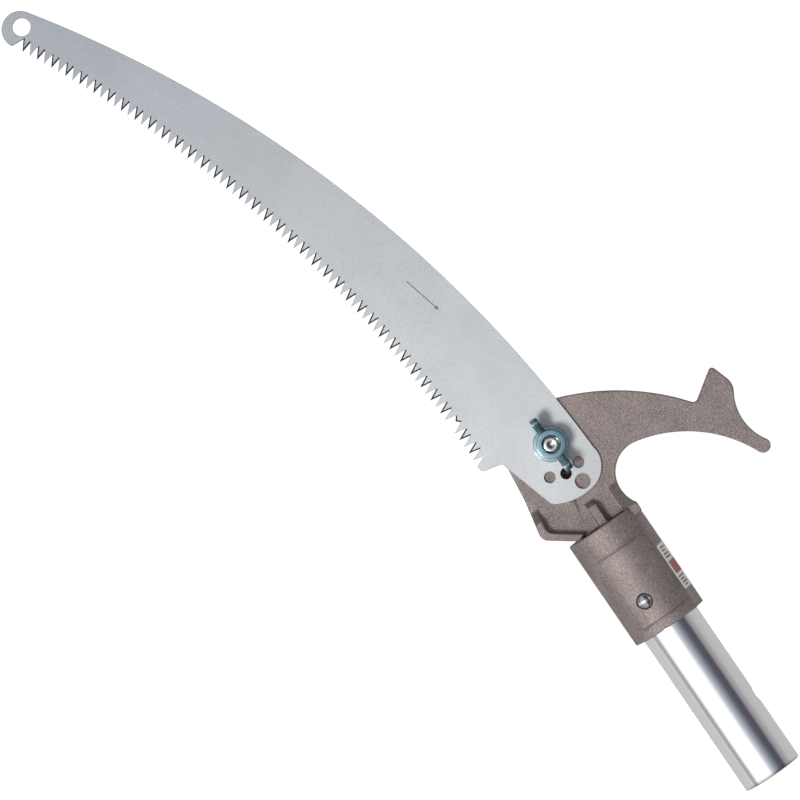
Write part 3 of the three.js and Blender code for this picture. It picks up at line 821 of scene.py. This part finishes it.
def helix(radius, depth, start, end):
    """A 60 degree thread's groove in the wall at a radius: a triangle wave of the height less a turn
    for each pitch, fading in and out over one pitch at its ends. Negative depths cut outwards."""

    def groove(r, a, h):
        phase = (h / THREAD_PITCH - a / (2 * np.pi)) % 1
        fade = np.clip((h - start) / THREAD_PITCH, 0, 1) * np.clip((end - h) / THREAD_PITCH, 0, 1)
        return (np.abs(r - radius) < 1e-6) * depth * fade * (1 - np.abs(2 * phase - 1))

    return groove


def soft_profile(points, radius):
    """A closed profile of (r, h) points with each corner rounded."""
    points = [np.array(p, float) for p in points]
    rounded = []
    for i, at in enumerate(points):
        before, after = points[i - 1], points[(i + 1) % len(points)]
        reach = min(np.linalg.norm(before - at), np.linalg.norm(after - at))
        rounded.append(corner(before, at, after, min(radius, 0.4 * reach), 4))
    return np.concatenate([*rounded, rounded[0][:1]])


def bolt_surface():
    """One profile turned about the bolt's axis, from the crown behind the web to the end inside
    the nut. Heights are out from the bolt's back."""
    total = BOLT_HIGH.y - BOLT_LOW.y
    head = (BOLT_HIGH.x - BOLT_LOW.x) / 2
    rise, brim = 4.4, 0.25
    shank, threads_from, groove = 3.97, rise + 5, 0.55
    t = np.linspace(0, np.pi / 2, 24)
    crown = np.stack([head * np.sin(t), (rise - 1) * (1 - np.cos(t))], -1)
    neck = [(head, rise - brim), (head - brim, rise), (shank, rise), (shank, threads_from)]
    h = np.arange(threads_from + 0.1, total - 1.0, THREAD_PITCH / 8)
    threaded = np.stack([np.full(len(h), shank), h], -1)
    rim_and_dimple = (
        (shank, 0.6), (3.7, 0.2), (3.3, 0.04), (2.6, 0), (1.9, 0.04), (1.4, 0.3), (0.8, 0.55), (0, 0.65)
    )
    end = [(r, total - below) for r, below in rim_and_dimple]
    profile = np.concatenate([crown, neck, threaded, end])
    return lathed(profile, 72, helix(shank, groove, threads_from, total - 0.4))


def washer_surface(low, high, rounding):
    """A flat ring's section turned about the bolt's axis."""
    outer = (high.x - low.x) / 2
    thickness = high.y - low.y
    section = [(WASHER_BORE, 0), (outer, 0), (outer, thickness), (WASHER_BORE, thickness)]
    return lathed(soft_profile(section, rounding), 96)


def ring_with_slit(inner, outer, thickness, slit_deg, rounding, skew=0.0):
    """A rounded box section carried round the axis from one side of a slit to the other. Skew
    slants the ends, as a spring washer's are cut."""
    section = rounded_box(outer - inner, thickness, rounding)
    turn = np.radians(np.linspace(-90 + slit_deg / 2, 270 - slit_deg / 2, 97))
    out = np.stack([np.cos(turn), np.sin(turn), 0 * turn], -1)
    axis = np.tile([0.0, 0.0, 1.0], (len(turn), 1))
    points, faces = carried(section, out * (inner + outer) / 2 + [0, 0, thickness / 2], out, axis)
    x, y, h = points.T
    lean = skew * (h - thickness / 2) / (outer + inner)
    near_slit = np.clip((-y / (outer + 1e-9)) ** 3, 0, 1)
    return np.stack([x + lean * near_slit * 4, y, h], -1), faces


def nut_body_surface():
    """The nut's collar turned about the bolt's axis, its bore cut by the thread."""
    height, bore, base, base_height, top, rounding, groove = 8.0, 4.12, 8.1, 2.2, 7.35, 0.35, 0.5
    section = [(bore + 0.75, 0), (base, 0), (base, base_height), (top, height), (bore + 0.85, height)]
    bore_corner = 6  # points of the last corner and the repeated first one, which the mouth replaces
    outside = soft_profile(section, rounding)[:-bore_corner]
    h = np.arange(height - 0.75, 0.7, -THREAD_PITCH / 8)
    mouth = [(bore + 0.8, height), (bore + 0.35, height - 0.4)]
    inside = np.stack([np.full(len(h), bore), h], -1)
    foot = [(bore + 0.3, 0.4), (bore + 0.75, 0)]
    profile = np.concatenate([outside, mouth, inside, foot])
    return lathed(np.concatenate([profile, profile[:1]]), 96, helix(bore, -groove, 0.3, height - 0.3))


def wing_surface():
    """One wing as an oval section carried along a curve in (out, up) from the nut's side to the
    round tip. The section's half width and half thickness narrow along it and close as a circle."""
    steps, sides, squareness = 40, 32, 6
    tip_from = 0.72  # share of the wing's length before its round tip
    s = np.linspace(0, 1, steps + 1)[:, None]
    root, bend, tip = (np.array(p) for p in ((3.9, 4.6), (5.3, 11.6), (11.2, 14.3)))
    centre = (1 - s) ** 2 * root + 2 * s * (1 - s) * bend + s**2 * tip
    along = 2 * (1 - s) * (bend - root) + 2 * s * (tip - bend)
    along /= np.linalg.norm(along, axis=1, keepdims=True)
    end = np.sqrt(np.clip(1 - np.clip((s - tip_from) / (1 - tip_from), 0, 1) ** 2, 0, 1))
    width = (3.3 - 0.55 * s) * end
    thick = (2.3 + 1.1 * np.exp(-s * 9)) * end**0.3
    turn = np.linspace(0, 2 * np.pi, sides, endpoint=False)
    c, t = (np.sign(wave) * np.abs(wave) ** (2 / squareness) for wave in (np.cos(turn), np.sin(turn)))
    out = centre[:, :1] - width * c * along[:, 1:]
    up = centre[:, 1:] + width * c * along[:, :1]
    points = np.stack([thick * t, up, out], -1)
    first = np.broadcast_to(points[:1].mean(1, keepdims=True), points[:1].shape)
    points = np.concatenate([first, points])
    return points.reshape(-1, 3), grid_faces(steps + 2, sides, across=True)


class POLESAW_OT_clamp(bpy.types.Operator):
    """Make the bolt, washers, wing nut and locating pin"""

    bl_idname = "polesaw.clamp"
    bl_label = "Clamp"

    def execute(self, context):
        settings = context.scene.polesaw_clamp
        zinc = bright_zinc(settings)
        rounding = settings.rounding / MM
        spring = smooth_metal("oiled_spring_steel", settings.pin, 0.3, 900)
        points, faces = bolt_surface()
        bolt = clamp_place(points, BOLT_HIGH.y)
        end = smooth_metal("turned_bolt_end", settings.bright, 0.2, 1500)
        thing = piece("round_head_bolt", (bolt, faces), "head", ["carriage_bolt"], [zinc, end])
        paint_bolt_end(thing)
        points, faces = washer_surface(FLAT_LOW, FLAT_HIGH, rounding)
        flat = clamp_place(points, FLAT_HIGH.y)
        piece("plain_washer", (flat, faces), "clamp", ["flat_washer"], [zinc])
        thickness = LOCK_HIGH.y - LOCK_LOW.y
        points, faces = ring_with_slit(WASHER_BORE, LOCK_OUTER, thickness, LOCK_SLIT_DEG, rounding, 1.0)
        lock = clamp_place(points, LOCK_HIGH.y)
        piece("split_spring_washer", (lock, faces), "clamp", ["lock_washer"], [zinc])
        body = nut_body_surface()
        wing, quads = wing_surface()
        points, faces = joined(body, (wing, quads), (wing * [-1, -1, 1], quads))
        nut = turned_about_bolt(clamp_place(points, NUT_HIGH.y), NUT_REST_DEG)
        piece("butterfly_nut", (nut, faces), "nut", ["wing_nut"], [zinc], sharp=40)
        thickness = PIN_HIGH.y - PIN_LOW.y
        points, faces = ring_with_slit(PIN_BORE, PIN_OUTER, thickness, PIN_SLIT_DEG, PIN_ROUNDING)
        pin_z = polar((BOLT.x, BOLT.z), INDEX_REACH, INDEX_DEG)[1]
        base = ((PIN_LOW.x + PIN_HIGH.x) / 2, PIN_HIGH.y, pin_z)
        pin = placed(points, base, (1, 0, 0), (0, 0, 1), (0, -1, 0))
        piece("slotted_pin", (pin, faces), "head", ["locating_pin"], [spring])
        return {"FINISHED"}


def paint_bolt_end(thing):
    """Gives the second material to the bolt's turned end."""
    paint(thing, face_values(thing, "center")[:, 1] / MM < BOLT_LOW.y + 0.75)


# ---- Adapter tube and snap button ----


def tube_wall(radius, levels, segments, holes):
    """A cylinder's wall as a grid of angle and height. Round each drilled hole, the square of
    cells gives way to rings that run from the square's edge in to the hole's."""
    turn = np.linspace(0, 2 * np.pi, segments, endpoint=False)
    a, z = np.meshgrid(turn, levels, indexing="ij")
    faces = grid_faces(segments, len(levels))
    last = (segments - 1) * len(levels) + np.arange(len(levels) - 1)
    first = np.arange(len(levels) - 1)
    faces = np.concatenate([faces, np.stack([last, first, first + 1, last + 1], -1)])
    flat_a, flat_z = a.ravel(), z.ravel()
    parts, rims = [], []
    margin_turn, margin_z, rings = 0.14, 2.6, 6
    for hole_deg, hole_z, hole_r in holes:
        around = (flat_a - math.radians(hole_deg) + np.pi) % (2 * np.pi) - np.pi
        reach = math.asin(hole_r / (TUBE_HIGH.x - TUBE_WALL)) + margin_turn
        near = (np.abs(around) < reach) & (np.abs(flat_z - hole_z) < hole_r + margin_z)
        faces = faces[~near[faces].all(1)]
        cols = np.sort(np.unique(np.round(around[near], 9)))
        rows = np.sort(np.unique(flat_z[near]))
        edge = np.concatenate(
            [
                np.stack([cols[:-1], np.full(len(cols) - 1, rows[0])], -1),
                np.stack([np.full(len(rows) - 1, cols[-1]), rows[:-1]], -1),
                np.stack([cols[:0:-1], np.full(len(cols) - 1, rows[-1])], -1),
                np.stack([np.full(len(rows) - 1, cols[0]), rows[:0:-1]], -1),
            ]
        )
        spin = np.arctan2(edge[:, 1] - hole_z, edge[:, 0] * TUBE_HIGH.x)
        rim = np.stack([np.arcsin(hole_r * np.cos(spin) / radius), hole_z + hole_r * np.sin(spin)], -1)
        between = rim + np.linspace(0, 1, rings)[:, None, None] * (edge - rim)
        angle = between[..., 0] + math.radians(hole_deg)
        points = np.stack([radius * np.cos(angle), radius * np.sin(angle), between[..., 1]], -1)
        parts.append((points.reshape(-1, 3), grid_faces(rings, len(edge), across=True)))
        rims.append(points[0])
    wall = np.stack([radius * np.cos(flat_a), radius * np.sin(flat_a), flat_z], -1)
    return joined((wall, faces), *parts), rims


def tube_surface():
    """Two walls, a rounded lip at each end, and each hole's own wall between them."""
    outer, inner, lip, segments = TUBE_HIGH.x, TUBE_HIGH.x - TUBE_WALL, 0.4, 120
    levels = np.linspace(TUBE_LOW.z + lip, TUBE_HIGH.z - lip, 84)
    cross_hole, button_hole = (0.0, 37.8, 4.75), (-90 - BUTTON_DEG, BUTTON_Z, 4.15)
    outside, outer_rims = tube_wall(outer, levels, segments, [cross_hole, button_hole])
    inside, inner_rims = tube_wall(inner, levels, segments, [cross_hole, button_hole])
    parts = [outside, inside]
    for a, b in zip(outer_rims, inner_rims):
        steps = np.linspace(0, 1, 4)[:, None, None]
        wall = a + steps * (b - a)
        parts.append((wall.reshape(-1, 3), grid_faces(4, len(a), across=True)))
    for z, way in ((TUBE_LOW.z, 1), (TUBE_HIGH.z, -1)):
        curve = [(lip * (1 - math.cos(t)), z + way * lip * (1 - math.sin(t))) for t in (0, 0.5, 1.05)]
        curve.append((lip, z))
        lip_profile = [(outer - out, h) for out, h in curve] + [(inner + out, h) for out, h in curve[::-1]]
        parts.append(lathed(lip_profile, segments))
    return joined(*parts)


def button_frame():
    """The button's side, upward and outward directions."""
    turn = math.radians(BUTTON_DEG)
    out = (-math.sin(turn), -math.cos(turn), 0)
    side = (math.cos(turn), -math.sin(turn), 0)
    return side, (0, 0, 1), out


def button_surface():
    """A domed pin with a flange, turned about the button's axis. Heights are from the tube's axis."""
    flange_top, flange_base, crown = 12.41, 11.21, 22.67
    radius, dome_height, flange, edge = 3.85, 3.2, 5.3, 0.1
    t = np.linspace(0, np.pi / 2, 20)
    dome = np.stack([radius * np.sin(t), crown - dome_height * (1 - np.cos(t))], -1)
    skirt = [(radius, flange_top + 0.3), (radius + 0.25, flange_top)]
    top = [(flange - edge, flange_top), (flange, flange_top - edge)]
    base = [(flange, flange_base + edge), (flange - edge, flange_base), (0, flange_base)]
    return lathed(np.concatenate([dome, skirt, top, base]), 72)


def leaf_surface():
    """A flat strip's section carried down the front leg, round the fold and up the back leg."""
    front, back, width, thick, top, drop, steps = 10.91, 12.72, 9.0, 0.8, 6.0, 30.0, 24
    radius = (front + back) / 2 - thick / 2
    middle = (front - back) / 2
    legs = np.linspace(top, -drop, steps)
    a = np.linspace(0, np.pi, 32)[1:-1]
    lines = [np.full(steps, middle + radius), middle + radius * np.cos(a), np.full(steps, middle - radius)]
    out = np.concatenate(lines)
    up = np.concatenate([legs, -drop - radius * np.sin(a), legs[::-1]])
    along = np.gradient(np.stack([out, up], -1), axis=0)
    along /= np.linalg.norm(along, axis=1, keepdims=True)
    centres = np.stack([0 * out, up, out], -1)
    ups = np.stack([0 * out, -along[:, 0], along[:, 1]], -1)
    sides = np.tile([1.0, 0.0, 0.0], (len(out), 1))
    return carried(rounded_box(width, thick, 0.3), centres, sides, ups)


class POLESAW_OT_tube(bpy.types.Operator):
    """Make the adapter tube, its snap button and the button's spring"""

    bl_idname = "polesaw.tube"
    bl_label = "Adapter Tube"

    def execute(self, context):
        settings = context.scene.polesaw_tube
        drawn = drawn_aluminium(settings)
        piece("socket_tube", tube_surface(), "head", ["adapter_tube"], [drawn], merge=1e-5)
        points, faces = button_surface()
        button = placed(points, (0, 0, BUTTON_Z), *button_frame())
        chrome = smooth_metal("polished_chrome", settings.chrome, 0.04, 600)
        piece("domed_button", (button, faces), "button", ["snap_button"], [chrome])
        points, faces = leaf_surface()
        leaf = placed(points, (0, 0, BUTTON_Z), *button_frame())
        steel = smooth_metal("bright_spring_strip", context.scene.polesaw_clamp.pin, 0.25, 1200)
        thing = piece("folded_leaf_spring", (leaf, faces), None, ["button_spring"], [steel])
        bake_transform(thing)
        return {"FINISHED"}


# ---- Label ----


def label_frame():
    """The label's middle on its facet, and the across, up and outward directions there."""
    turn = math.radians(-FACET_DEG)
    out = np.array((math.cos(turn), math.sin(turn), 0.0))
    across = np.array((-math.sin(turn), math.cos(turn), 0.0))
    return np.array((LABEL_LOW + LABEL_HIGH) / 2), across, np.array((0.0, 0.0, 1.0)), out


def label_patch(across, up, width, height, corner_radius, low, high):
    """A rounded rectangle on the facet, between two heights above the sheet's middle plane."""
    loop = rounded_box(width, height, corner_radius) + [across, up]
    return plate([[np.column_stack([loop, np.full(len(loop), d)]) for d in (high, low)]])


class POLESAW_OT_label(bpy.types.Operator):
    """Make the collar's label with its plain printed panels"""

    bl_idname = "polesaw.label"
    bl_label = "Label"

    def execute(self, context):
        settings = context.scene.polesaw_label
        film = printed_vinyl("white_vinyl_film", settings.film, 0.35)
        red = printed_vinyl("red_screen_ink", settings.panel, 0.4)
        ink = printed_vinyl("dark_screen_ink", settings.ink, 0.45)
        back, face, red_face, ink_face = -0.12, 0.11, 0.125, 0.122
        points, faces = label_patch(0, 0, 12.5, 25.9, 0.8, back, face)
        sheet = placed(points, *label_frame())
        piece("label_film", (sheet, faces), "head", ["collar_label"], [film])
        points, faces = label_patch(0.6, -0.6, 10.2, 7.4, 0.3, face, red_face)
        panel = placed(points, *label_frame())
        piece("label_red_panel", (panel, faces), "head", [], [red])
        upper = [(5.2, 9.0), (7.0, 8.0), (9.0, 6.0), (10.8, 7.4)]
        lower = [(-6.2, 8.8), (-8.0, 7.0), (-9.7, 8.2), (-11.4, 4.8)]
        bars = [
            label_patch(-0.4 * (i % 3), up, width, 0.85, 0.2, face, ink_face)
            for i, (up, width) in enumerate(upper + lower)
        ]
        points, faces = joined(*bars)
        marks = placed(points, *label_frame())
        piece("label_dark_bars", (marks, faces), "head", [], [ink])
        return {"FINISHED"}


# ---- Stage ----


def studio_world(scene):
    """White behind the object. Reflections see a studio instead: a broad softbox to the front left,
    a dark gap to its right and pale walls at the sides and back, by the compass direction."""
    world = bpy.data.worlds.new("studio")
    scene.world = world
    world.use_nodes = True
    tree = world.node_tree
    tree.nodes.clear()
    way = add_node(tree, "ShaderNodeTexCoord").outputs["Generated"]
    parts = add_node(tree, "ShaderNodeSeparateXYZ", {0: way})
    flipped = add_node(tree, "ShaderNodeMath", {0: parts.outputs["Y"], 1: -1.0}, operation="MULTIPLY")
    inputs = {0: parts.outputs["X"], 1: flipped.outputs[0]}
    angle = add_node(tree, "ShaderNodeMath", inputs, operation="ARCTAN2").outputs[0]
    walls = ramp(
        tree,
        mapped(tree, angle, 0.0, 1.0, -math.pi, math.pi),
        [
            (0.0, (0.62, 0.61, 0.6)),
            (0.255, (0.72, 0.71, 0.7)),
            (0.268, (0.3, 0.31, 0.32)),
            (0.282, (0.55, 0.55, 0.56)),
            (0.292, (0.33, 0.34, 0.36)),
            (0.315, (1.25, 1.25, 1.25)),
            (0.478, (1.25, 1.25, 1.25)),
            (0.51, (0.6, 0.64, 0.7)),
            (0.55, (0.3, 0.33, 0.38)),
            (0.59, (0.12, 0.12, 0.15)),
            (0.645, (0.09, 0.085, 0.11)),
            (0.672, (0.35, 0.33, 0.35)),
            (0.75, (0.6, 0.58, 0.58)),
            (1.0, (0.62, 0.61, 0.6)),
        ],
    )
    height = add_node(tree, "ShaderNodeMath", {0: parts.outputs["Z"]}, operation="ABSOLUTE")
    high = mapped(tree, height.outputs[0], 0.0, 1.0, 0.14, 0.34)
    fade = mapped(tree, high, 1.0, 0.36)
    dome = add_node(tree, "ShaderNodeVectorMath", {0: walls, "Scale": fade}, operation="SCALE").outputs[0]
    path = add_node(tree, "ShaderNodeLightPath").outputs
    glossy, even, paper = (
        add_node(tree, "ShaderNodeBackground", {"Color": shade, "Strength": strength}).outputs[0]
        for shade, strength in ((dome, 1.0), ((1, 1, 1, 1), 0.36), ((1, 1, 1, 1), 1.1))
    )
    soft = add_node(tree, "ShaderNodeMixShader", {0: path["Is Diffuse Ray"], 1: glossy, 2: even}).outputs[0]
    mixed = add_node(tree, "ShaderNodeMixShader", {0: path["Is Camera Ray"], 1: soft, 2: paper})
    add_node(tree, "ShaderNodeOutputWorld", {"Surface": mixed.outputs[0]})


def studio_floor(settings):
    """A wide flat floor under the tube's end: a sheet of white acrylic lit from below."""
    material, tree, shader, place = start_material("lit_acrylic_sheet")
    pale = tuple(settings.floor)
    shades = ramp(tree, noise(tree, place, 3), [(0.3, tint(pale, 0.985)), (0.7, pale)])
    coat(tree, shader, shades, 0.9, 0.0)
    shader.inputs["Specular IOR Level"].default_value = 0.0
    shader.inputs["Emission Color"].default_value = (1, 1, 1, 1)
    shader.inputs["Emission Strength"].default_value = 0.7
    reach, drop = 6.0, 0.0004
    x, y = np.meshgrid(np.linspace(-reach, reach, 3), np.linspace(-reach, reach, 3), indexing="ij")
    points = np.stack([x.ravel(), y.ravel(), np.full(9, -drop)], -1)
    mesh = bpy.data.meshes.new("studio_floor")
    mesh.from_pydata(points.tolist(), [], grid_faces(3, 3).tolist())
    mesh.materials.append(material)
    floor = bpy.data.objects.new("studio_floor", mesh)
    bpy.context.scene.collection.objects.link(floor)
    floor.visible_glossy = False


def softbox(name, where, aim, size, watts):
    """A square area light that faces a point."""
    light = bpy.data.lights.new(name, "AREA")
    light.shape = "SQUARE"
    light.size = size
    light.energy = watts
    thing = bpy.data.objects.new(name, light)
    way = Vector(aim) - Vector(where)
    thing.matrix_world = Matrix.Translation(where) @ way.to_track_quat("-Z", "Y").to_matrix().to_4x4()
    bpy.context.scene.collection.objects.link(thing)
    return thing


class POLESAW_OT_stage(bpy.types.Operator):
    """Make the camera, the floor and the soft studio light"""

    bl_idname = "polesaw.stage"
    bl_label = "Stage"

    def execute(self, context):
        settings = context.scene.polesaw_stage
        scene = context.scene
        data = bpy.data.cameras.new("camera")
        data.sensor_width = 36
        data.lens = data.sensor_width * settings.distance / settings.view_width
        data.clip_end = 100
        camera = bpy.data.objects.new("camera", data)
        lean_across, lean_up = 0.565, 0.825  # of the upright tube, as the camera sees it
        roll = math.atan2(lean_across, lean_up)
        right = Vector((math.cos(roll), 0, -math.sin(roll)))
        up = Vector((math.sin(roll), 0, math.cos(roll)))
        aim = Vector((-0.0483, 0, 0.2591))
        turn = Matrix((right, up, Vector((0, -1, 0)))).transposed().to_4x4()
        camera.matrix_world = Matrix.Translation(aim - Vector((0, settings.distance, 0))) @ turn
        scene.collection.objects.link(camera)
        scene.camera = camera
        scene.view_settings.view_transform = "Standard"
        studio_world(scene)
        studio_floor(settings)
        centre = Vector((0.0, 0.0, 0.22))
        softbox("key_softbox", centre + Vector((-0.58, -1.1, -0.08)), centre, 0.27, 9.5)
        softbox("back_softbox", centre + Vector((0.55, 1.3, 0.5)), centre, 0.7, 14)
        return {"FINISHED"}


class POLESAW_PT_panel(bpy.types.Panel):
    """Lists the pole saw's pieces and their settings"""

    bl_label = "Pole Saw Head"
    bl_idname = "POLESAW_PT_panel"
    bl_space_type = "VIEW_3D"
    bl_region_type = "UI"
    bl_category = "Pole Saw"

    def draw(self, context):
        for operator, name in STEPS:
            box = self.layout.box()
            box.operator(operator.bl_idname)
            settings = getattr(context.scene, name)
            for key in settings.__annotations__:
                box.prop(settings, key)


STEPS = (
    (POLESAW_OT_blade, "polesaw_blade"),
    (POLESAW_OT_head, "polesaw_head"),
    (POLESAW_OT_clamp, "polesaw_clamp"),
    (POLESAW_OT_tube, "polesaw_tube"),
    (POLESAW_OT_label, "polesaw_label"),
    (POLESAW_OT_stage, "polesaw_stage"),
)
GROUPS = {
    "polesaw_blade": BladeSettings,
    "polesaw_head": HeadSettings,
    "polesaw_clamp": ClampSettings,
    "polesaw_tube": TubeSettings,
    "polesaw_label": LabelSettings,
    "polesaw_stage": StageSettings,
}
CLASSES = (*GROUPS.values(), *(operator for operator, _ in STEPS), POLESAW_PT_panel)


def register():
    for item in CLASSES:
        bpy.utils.register_class(item)
    for name, group in GROUPS.items():
        setattr(bpy.types.Scene, name, PointerProperty(type=group))


def unregister():
    for name in GROUPS:
        delattr(bpy.types.Scene, name)
    for item in reversed(CLASSES):
        bpy.utils.unregister_class(item)


def main():
    register()
    for operator, _ in STEPS:
        group, call = operator.bl_idname.split(".")
        getattr(getattr(bpy.ops, group), call)()


if __name__ == "__main__":
    main()
